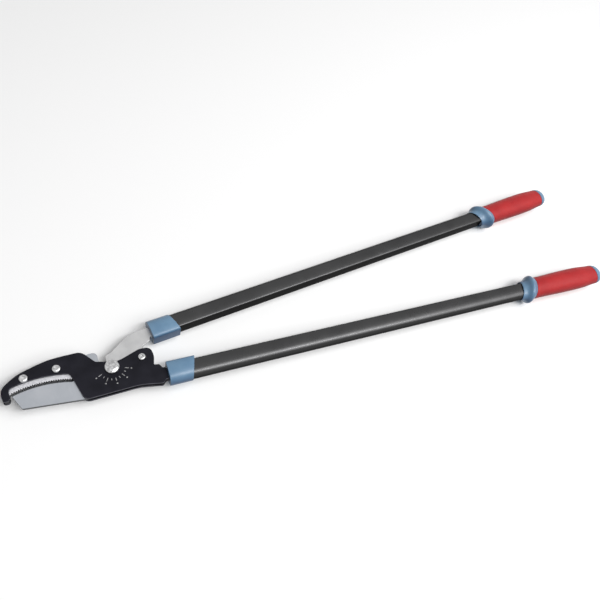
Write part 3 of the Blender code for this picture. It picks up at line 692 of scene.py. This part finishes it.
def screw_set(material):
    """The two anvil screws and the stop bolt, each with its nut."""
    for number, place in enumerate(ANVIL_SCREWS, 1):
        button_screw(f"anvil_screw_{number}_turned", place, SCREW_HEAD, material,
                     f"anvil_screw_{number}")
        hexagon_nut(f"anvil_nut_{number}_cut", place, SCREW_NUT, NUT_SEAT, material,
                    f"anvil_nut_{number}")
    button_screw("stop_bolt_turned", STOP_BOLT, STOP_HEAD, material, "stop_bolt")
    hexagon_nut("stop_nut_cut", STOP_BOLT, SCREW_NUT, NUT_SEAT, material, "stop_nut")


# Plates, blade and the other head pieces, refined from their CAD solids

def refined(node, body, material, edge=0.0):
    """Copy of a CAD node with its triangles merged, flat faces joined and edges softened."""
    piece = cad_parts[node].copy()
    piece.data = piece.data.copy()
    for key in list(piece.keys()):
        del piece[key]
    piece.parent = None
    piece.name = node + "_refined"
    piece.data.name = node + "_refined"
    bpy.context.scene.collection.objects.link(piece)
    start_editing(piece)
    bpy.ops.mesh.select_all(action="SELECT")
    bpy.ops.mesh.customdata_custom_splitnormals_clear()
    bpy.ops.mesh.remove_doubles(threshold=MERGE_DISTANCE)
    bpy.ops.mesh.dissolve_limited(angle_limit=math.radians(FLATNESS))
    stop_editing()
    if edge:
        soften(piece, edge, EDGE_ANGLE)
    shade(piece)
    apply_modifier(piece, "WEIGHTED_NORMAL", keep_sharp=True, weight=FACE_WEIGHT)
    finish_piece(piece, body, material, node)


# Printed fan on the front plate

def tick(angle, radius, length):
    """One printed tick of the fan, pointing away from the pivot."""
    bpy.ops.object.select_all(action="DESELECT")
    at = (radius * math.cos(angle) * MM, radius * math.sin(angle) * MM,
          (PLATE_TOP + TICK_LIFT) * MM)
    bpy.ops.mesh.primitive_cube_add(size=1.0, location=at, rotation=(0.0, 0.0, angle))
    piece = new_piece("tick")
    piece.scale = (length * MM, TICK_WIDTH * MM, TICK_HEIGHT * MM)
    settle(piece)
    soften(piece, *TICK_BEVEL)
    return piece


def plate_marks(material):
    """Fan of plain ticks and dots printed round the pivot on the front plate."""
    pieces = []
    for number in range(TICK_COUNT):
        angle = math.radians(between(*TICK_FAN, number / (TICK_COUNT - 1)))
        if number % 2:
            pieces.append(tick(angle, *SHORT_TICK))
            continue
        pieces.append(tick(angle, *LONG_TICK))
        dot_at = (DOT_PLACE * math.cos(angle), DOT_PLACE * math.sin(angle))
        profile = [(radius, PLATE_TOP + lift) for radius, lift in DOT]
        pieces.append(turned("dot", dot_at, profile, DOT_SIDES))
    bpy.ops.object.select_all(action="DESELECT")
    for piece in pieces:
        piece.select_set(True)
    bpy.context.view_layer.objects.active = pieces[0]
    bpy.ops.object.join()
    marks = new_piece("plate_marks")
    shade(marks, 40.0)
    finish_piece(marks, "anvil_side", material)


# Finishes

def make_material(name, colour, metallic, roughness):
    """Principled material with plain values, which the nodes of a finish then vary."""
    material = bpy.data.materials.new(name)
    material.use_nodes = True
    set_value(material, "Base Color", (*colour, 1.0))
    set_value(material, "Metallic", metallic)
    set_value(material, "Roughness", roughness)
    return material


def set_value(material, socket, value):
    """Set one plain value of the shader."""
    material.node_tree.nodes["Principled BSDF"].inputs[socket].default_value = value


def feed(material, socket, output):
    """Link a value into the shader."""
    shader = material.node_tree.nodes["Principled BSDF"]
    material.node_tree.links.new(output, shader.inputs[socket])


def noise(material, scale, detail=4.0, stretch=(1.0, 1.0, 1.0), turn=0.0):
    """Noise on object coordinates, stretched and turned."""
    tree = material.node_tree
    place = tree.nodes.new("ShaderNodeTexCoord")
    mapping = tree.nodes.new("ShaderNodeMapping")
    mapping.inputs["Scale"].default_value = stretch
    mapping.inputs["Rotation"].default_value = (0.0, 0.0, turn)
    texture = tree.nodes.new("ShaderNodeTexNoise")
    texture.inputs["Scale"].default_value = scale
    texture.inputs["Detail"].default_value = detail
    tree.links.new(place.outputs["Object"], mapping.inputs["Vector"])
    tree.links.new(mapping.outputs["Vector"], texture.inputs["Vector"])
    return texture.outputs["Fac"]


def uprightness(material):
    """How squarely a face looks up or down: 1 on flat faces, 0 on side walls. The finishes
    paint shade and highlight by it.
    """
    tree = material.node_tree
    place = tree.nodes.new("ShaderNodeTexCoord")
    split = tree.nodes.new("ShaderNodeSeparateXYZ")
    size = tree.nodes.new("ShaderNodeMath")
    size.operation = "ABSOLUTE"
    tree.links.new(place.outputs["Normal"], split.inputs["Vector"])
    tree.links.new(split.outputs["Z"], size.inputs[0])
    return size.outputs["Value"]


def tones(material, value, *stops):
    """Map a value through tones, given as position and colour."""
    node = material.node_tree.nodes.new("ShaderNodeValToRGB")
    while len(node.color_ramp.elements) < len(stops):
        node.color_ramp.elements.new(0.5)
    for element, (position, colour) in zip(node.color_ramp.elements, stops):
        element.position = position
        element.color = (*colour, 1.0)
    material.node_tree.links.new(value, node.inputs["Fac"])
    return node.outputs["Color"]


def two_tone(material, value, low, high, start=NOISE_LOW, stop=NOISE_HIGH):
    """Map a noise to a colour between two."""
    return tones(material, value, (start, low), (stop, high))


def spread(material, value, low, high):
    """Map a noise onto a range of roughness."""
    tree = material.node_tree
    node = tree.nodes.new("ShaderNodeMapRange")
    node.inputs["From Min"].default_value = NOISE_LOW
    node.inputs["From Max"].default_value = NOISE_HIGH
    node.inputs["To Min"].default_value = low
    node.inputs["To Max"].default_value = high
    tree.links.new(value, node.inputs["Value"])
    return node.outputs["Result"]


def multiply(material, first, second):
    """Multiply two colours."""
    tree = material.node_tree
    node = tree.nodes.new("ShaderNodeMix")
    node.data_type = "RGBA"
    node.blend_type = "MULTIPLY"
    node.inputs["Factor"].default_value = 1.0
    tree.links.new(first, node.inputs[MIX_FIRST])
    tree.links.new(second, node.inputs[MIX_SECOND])
    return node.outputs[MIX_RESULT]


def bump(material, value, depth):
    """Surface relief from a value, its depth in millimetres."""
    tree = material.node_tree
    node = tree.nodes.new("ShaderNodeBump")
    node.inputs["Strength"].default_value = 1.0
    node.inputs["Distance"].default_value = depth * MM
    tree.links.new(value, node.inputs["Height"])
    feed(material, "Normal", node.outputs["Normal"])


def coated_steel():
    """Blackened steel of the plates, fine grain, painted rim highlights and painted wall shade.
    """
    material = make_material("coated_steel", (0.018, 0.018, 0.023), 1.0, 0.44)
    wear = two_tone(material, noise(material, 45.0, 3.0), (0.4, 0.4, 0.42), (0.6, 0.6, 0.64))
    # Painted highlight on the bevelled rims, painted shade on the upright walls
    rims = tones(material, uprightness(material),
                 (0.0, (0.02, 0.02, 0.024)), (0.3, (0.3, 0.3, 0.32)),
                 (0.85, (0.3, 0.3, 0.32)), (0.98, (0.034, 0.034, 0.041)))
    feed(material, "Base Color", multiply(material, wear, rims))
    feed(material, "Roughness", spread(material, noise(material, 160.0), 0.38, 0.5))
    bump(material, noise(material, 2600.0, 2.0), 0.006)
    set_value(material, "Specular Tint", (0.6, 0.6, 0.6, 1.0))
    return material


def ground_blade_steel():
    """Ground steel of the blade, with fine lines across it and painted shade on side walls."""
    material = make_material("ground_blade_steel", (0.37, 0.385, 0.415), 1.0, 0.41)
    tint = two_tone(material, noise(material, 30.0, 3.0),
                    (0.335, 0.355, 0.385), (0.40, 0.415, 0.445))
    # Painted shade: the upright walls darker than the flat faces
    edges = tones(material, uprightness(material), (0.1, (0.2, 0.2, 0.2)),
                  (0.75, (0.9, 0.9, 0.9)), (0.98, (1.0, 1.0, 1.0)))
    feed(material, "Base Color", multiply(material, tint, edges))
    lines = noise(material, 60.0, 6.0, (30.0, 1.0, 1.0), 0.25)
    feed(material, "Roughness", spread(material, lines, 0.34, 0.48))
    bump(material, lines, 0.004)
    return material


def plated_lever_steel():
    """Bright plated steel of the lever."""
    material = make_material("plated_lever_steel", (0.49, 0.49, 0.49), 1.0, 0.37)
    feed(material, "Base Color", two_tone(material, noise(material, 50.0),
                                          (0.44, 0.44, 0.445), (0.54, 0.54, 0.54)))
    feed(material, "Roughness", spread(material, noise(material, 220.0), 0.3, 0.44))
    bump(material, noise(material, 1400.0, 3.0), 0.004)
    return material


def cast_alloy():
    """Mottled cast alloy of the insert, with painted shade on its side walls, teeth among them.
    """
    material = make_material("cast_alloy", (0.56, 0.56, 0.585), 0.4, 0.52)
    grain = noise(material, 700.0, 3.0)
    mottle = two_tone(material, grain, (0.42, 0.42, 0.445), (0.7, 0.7, 0.73), 0.35, 0.6)
    # Painted shade: upright walls, the faces between the teeth among them, near black
    teeth = tones(material, uprightness(material), (0.2, (0.03, 0.03, 0.03)),
                  (0.7, (1.0, 1.0, 1.0)))
    feed(material, "Base Color", multiply(material, mottle, teeth))
    feed(material, "Roughness", spread(material, grain, 0.42, 0.62))
    bump(material, grain, 0.03)
    return material


def zinc_plate():
    """Bright zinc of the bolts, nuts and washers."""
    material = make_material("zinc_plate", (0.47, 0.47, 0.475), 1.0, 0.23)
    cloud = noise(material, 350.0)
    feed(material, "Base Color", two_tone(material, cloud, (0.36, 0.36, 0.365),
                                          (0.58, 0.58, 0.585), 0.4, 0.6))
    feed(material, "Roughness", spread(material, cloud, 0.16, 0.3))
    bump(material, noise(material, 900.0, 2.0), 0.006)
    return material


def turned_bronze():
    """Bronze of the pivot bush."""
    material = make_material("turned_bronze", (0.5, 0.32, 0.14), 1.0, 0.32)
    lines = noise(material, 60.0, 3.0, (1.0, 1.0, 40.0))
    feed(material, "Roughness", spread(material, lines, 0.25, 0.4))
    bump(material, lines, 0.005)
    return material


def tube_paint():
    """Satin black enamel of the tubes, faint orange peel and painted shade on the side walls.
    """
    material = make_material("tube_paint", (0.058, 0.058, 0.059), 1.0, 0.3)
    paint = two_tone(material, noise(material, 25.0),
                     (0.052, 0.052, 0.053), (0.064, 0.064, 0.065))
    # Painted shade: upright walls darker than the tops
    sides = tones(material, uprightness(material), (0.05, (0.35, 0.35, 0.35)),
                  (0.6, (0.7, 0.7, 0.7)), (0.95, (1.0, 1.0, 1.0)))
    feed(material, "Base Color", multiply(material, paint, sides))
    feed(material, "Roughness", spread(material, noise(material, 90.0), 0.26, 0.33))
    bump(material, noise(material, 420.0, 1.0), 0.003)
    set_value(material, "Specular Tint", (0.5, 0.5, 0.5, 1.0))
    return material


def blue_moulding():
    """Satin blue plastic of the collars and grip cores, with painted shade on the side walls.
    """
    material = make_material("blue_moulding", (0.119, 0.221, 0.337), 0.0, 0.33)
    plastic = two_tone(material, noise(material, 60.0, 3.0),
                       (0.103, 0.2, 0.315), (0.135, 0.243, 0.36))
    # Painted shade: upright walls darker than the tops
    sides = tones(material, uprightness(material), (0.05, (0.16, 0.3, 0.44)),
                  (0.8, (0.95, 0.96, 0.97)), (0.95, (1.0, 1.0, 1.0)))
    feed(material, "Base Color", multiply(material, plastic, sides))
    feed(material, "Roughness", spread(material, noise(material, 300.0), 0.28, 0.38))
    bump(material, noise(material, 2200.0, 2.0), 0.005)
    return material


def red_soft_touch():
    """Soft red rubber of the sleeves, with a fine moulded grain and painted shade on side
    walls.
    """
    material = make_material("red_soft_touch", (0.38, 0.013, 0.016), 0.0, 0.51)
    rubber = two_tone(material, noise(material, 40.0, 3.0),
                      (0.345, 0.011, 0.014), (0.415, 0.016, 0.018))
    # Painted shade: upright walls darker than the tops
    sides = tones(material, uprightness(material), (0.05, (0.55, 0.55, 0.6)),
                  (0.85, (1.0, 1.0, 1.0)))
    feed(material, "Base Color", multiply(material, rubber, sides))
    feed(material, "Roughness", spread(material, noise(material, 260.0), 0.44, 0.58))
    bump(material, noise(material, 1500.0, 3.0), 0.014)
    set_value(material, "Specular IOR Level", 0.25)
    return material


def black_rubber():
    """Matt rubber of the bumper."""
    material = make_material("black_rubber_matt", (0.02, 0.02, 0.02), 0.0, 0.8)
    grain = noise(material, 1200.0, 3.0)
    feed(material, "Roughness", spread(material, grain, 0.7, 0.9))
    bump(material, grain, 0.02)
    return material


def black_moulding():
    """Black plastic of the packings inside the tubes."""
    material = make_material("black_moulding", (0.03, 0.03, 0.03), 0.0, 0.57)
    grain = noise(material, 900.0, 3.0)
    feed(material, "Roughness", spread(material, grain, 0.5, 0.65))
    bump(material, grain, 0.01)
    return material


def printed_grey():
    """Grey print of the ticks and dots, a little worn."""
    material = make_material("printed_grey", (0.24, 0.24, 0.24), 0.0, 0.6)
    wear = noise(material, 900.0)
    feed(material, "Base Color", two_tone(material, wear, (0.12, 0.12, 0.12),
                                          (0.36, 0.36, 0.36), 0.35, 0.55))
    bump(material, wear, 0.01)
    return material


# Floor, light and camera

def seen_directly(tree):
    """1 for rays that the camera, a reflection or glass sends, 0 for light on surfaces."""
    path = tree.nodes.new("ShaderNodeLightPath")
    total = path.outputs["Is Camera Ray"]
    for kind in ("Is Glossy Ray", "Is Transmission Ray"):
        add = tree.nodes.new("ShaderNodeMath")
        add.operation = "MAXIMUM"
        tree.links.new(total, add.inputs[0])
        tree.links.new(path.outputs[kind], add.inputs[1])
        total = add.outputs["Value"]
    return total


def scaled(tree, value, low, high):
    """Map a value from 0 to 1 onto a range."""
    node = tree.nodes.new("ShaderNodeMapRange")
    node.inputs["To Min"].default_value = low
    node.inputs["To Max"].default_value = high
    tree.links.new(value, node.inputs["Value"])
    return node.outputs["Result"]


def far_away(tree):
    """0 on the floor near the lopper, rising to 1 at a distance from it."""
    place = tree.nodes.new("ShaderNodeTexCoord")
    length = tree.nodes.new("ShaderNodeVectorMath")
    length.operation = "LENGTH"
    fade = tree.nodes.new("ShaderNodeMapRange")
    fade.interpolation_type = "SMOOTHSTEP"
    fade.inputs["From Min"].default_value = FLOOR_FADE[0]
    fade.inputs["From Max"].default_value = FLOOR_FADE[1]
    tree.links.new(place.outputs["Object"], length.inputs[0])
    tree.links.new(length.outputs["Value"], fade.inputs["Value"])
    return fade.outputs["Result"]


def make_floor():
    """Plain pale floor under the lopper, fading to a white backdrop far behind it."""
    bpy.ops.object.select_all(action="DESELECT")
    bpy.ops.mesh.primitive_plane_add(
        size=FLOOR_SIZE, location=(LOPPER_MIDDLE[0], LOPPER_MIDDLE[1], -FLOOR_DROP))
    floor = new_piece("floor")
    material = make_material("pale_floor", (FLOOR_COLOUR,) * 3, 0.0, 0.9)
    set_value(material, "Specular IOR Level", 0.0)
    tree = material.node_tree
    seen = seen_directly(tree)
    feed(material, "Base Color", scaled(tree, seen, FLOOR_BOUNCE, FLOOR_COLOUR))
    white = tree.nodes.new("ShaderNodeEmission")
    share = tree.nodes.new("ShaderNodeMath")
    share.operation = "MULTIPLY"
    mix = tree.nodes.new("ShaderNodeMixShader")
    tree.links.new(seen, share.inputs[0])
    tree.links.new(far_away(tree), share.inputs[1])
    tree.links.new(share.outputs["Value"], mix.inputs["Fac"])
    tree.links.new(tree.nodes["Principled BSDF"].outputs["BSDF"], mix.inputs[1])
    tree.links.new(white.outputs["Emission"], mix.inputs[2])
    tree.links.new(mix.outputs["Shader"], tree.nodes["Material Output"].inputs["Surface"])
    floor.data.materials.append(material)


def make_softbox(name, azimuth, elevation, distance, width, height, power):
    """Rectangular softbox that faces the lopper from a direction, its width along X."""
    lamp = bpy.data.lights.new(name, "AREA")
    lamp.shape = "RECTANGLE"
    lamp.size, lamp.size_y = width, height
    lamp.energy = power
    item = bpy.data.objects.new(name, lamp)
    turn, rise = math.radians(azimuth), math.radians(elevation)
    level = math.cos(rise)
    way = Vector((level * math.cos(turn), level * math.sin(turn), math.sin(rise)))
    along = (Vector((1.0, 0.0, 0.0)) - way * way.x).normalized()
    facing = Matrix((along, way.cross(along), way)).transposed().to_4x4()
    item.matrix_world = Matrix.Translation(Vector(LOPPER_MIDDLE) + way * distance) @ facing
    bpy.context.scene.collection.objects.link(item)


def make_world():
    """Pale surroundings: white to the eye and in reflections, and a weak even light."""
    world = bpy.data.worlds.new("surroundings")
    bpy.context.scene.world = world
    world.use_nodes = True
    tree = world.node_tree
    shader = tree.nodes["Background"]
    shader.inputs["Color"].default_value = (1.0, 1.0, 1.0, 1.0)
    strength = scaled(tree, seen_directly(tree), WORLD_LIGHT, 1.0)
    tree.links.new(strength, shader.inputs["Strength"])


def make_camera():
    """Camera at the photo's place and turn."""
    forward, up = Vector(CAMERA_FORWARD), Vector(CAMERA_UP)
    right = forward.cross(up)
    camera = bpy.data.cameras.new("camera")
    camera.sensor_width = CAMERA_SENSOR
    camera.lens = CAMERA_LENS
    camera.clip_start = CAMERA_NEAR
    item = bpy.data.objects.new("camera", camera)
    columns = Matrix((right, up, -forward)).transposed().to_4x4()
    item.matrix_world = Matrix.Translation(CAMERA_PLACE) @ columns
    bpy.context.scene.collection.objects.link(item)
    bpy.context.scene.camera = item


# The lopper, piece by piece

def build():
    """Build every piece of the lopper."""
    coat, zinc, blue = coated_steel(), zinc_plate(), blue_moulding()
    red, paint, packing = red_soft_touch(), tube_paint(), black_moulding()
    refined("front_plate", "anvil_side", coat)
    refined("rear_plate", "anvil_side", coat)
    refined("lower_tang", "anvil_side", coat, 0.2)
    refined("anvil_insert", "anvil_side", cast_alloy(), 0.15)
    refined("blade", "blade_side", ground_blade_steel(), 0.15)
    refined("lever", "blade_side", plated_lever_steel(), 0.2)
    for number in (1, 2, 3):
        refined(f"lap_rivet_{number}", "blade_side", zinc)
    for number in (1, 2):
        refined(f"tang_rivet_{number}", "anvil_side", zinc)
    refined("stop_sleeve", "anvil_side", zinc)
    refined("stop_bumper", "anvil_side", black_rubber(), 0.4)
    refined("pivot_bush", "anvil_side", turned_bronze())
    pivot_set(zinc)
    screw_set(zinc)
    plate_marks(printed_grey())
    for side in (UPPER, LOWER):
        refined(PREFIX[side] + "tang_plug", BODY[side], packing)
        handle_tube(side, paint)
        collar(side, blue)
        grip_core(side, blue)
        grip_sleeve(side, red)


make_floor()
make_world()
make_softbox("key", *KEY_LIGHT)
make_softbox("strip", *STRIP_LIGHT)
make_camera()
bpy.context.scene.view_settings.view_transform = "Standard"
build()
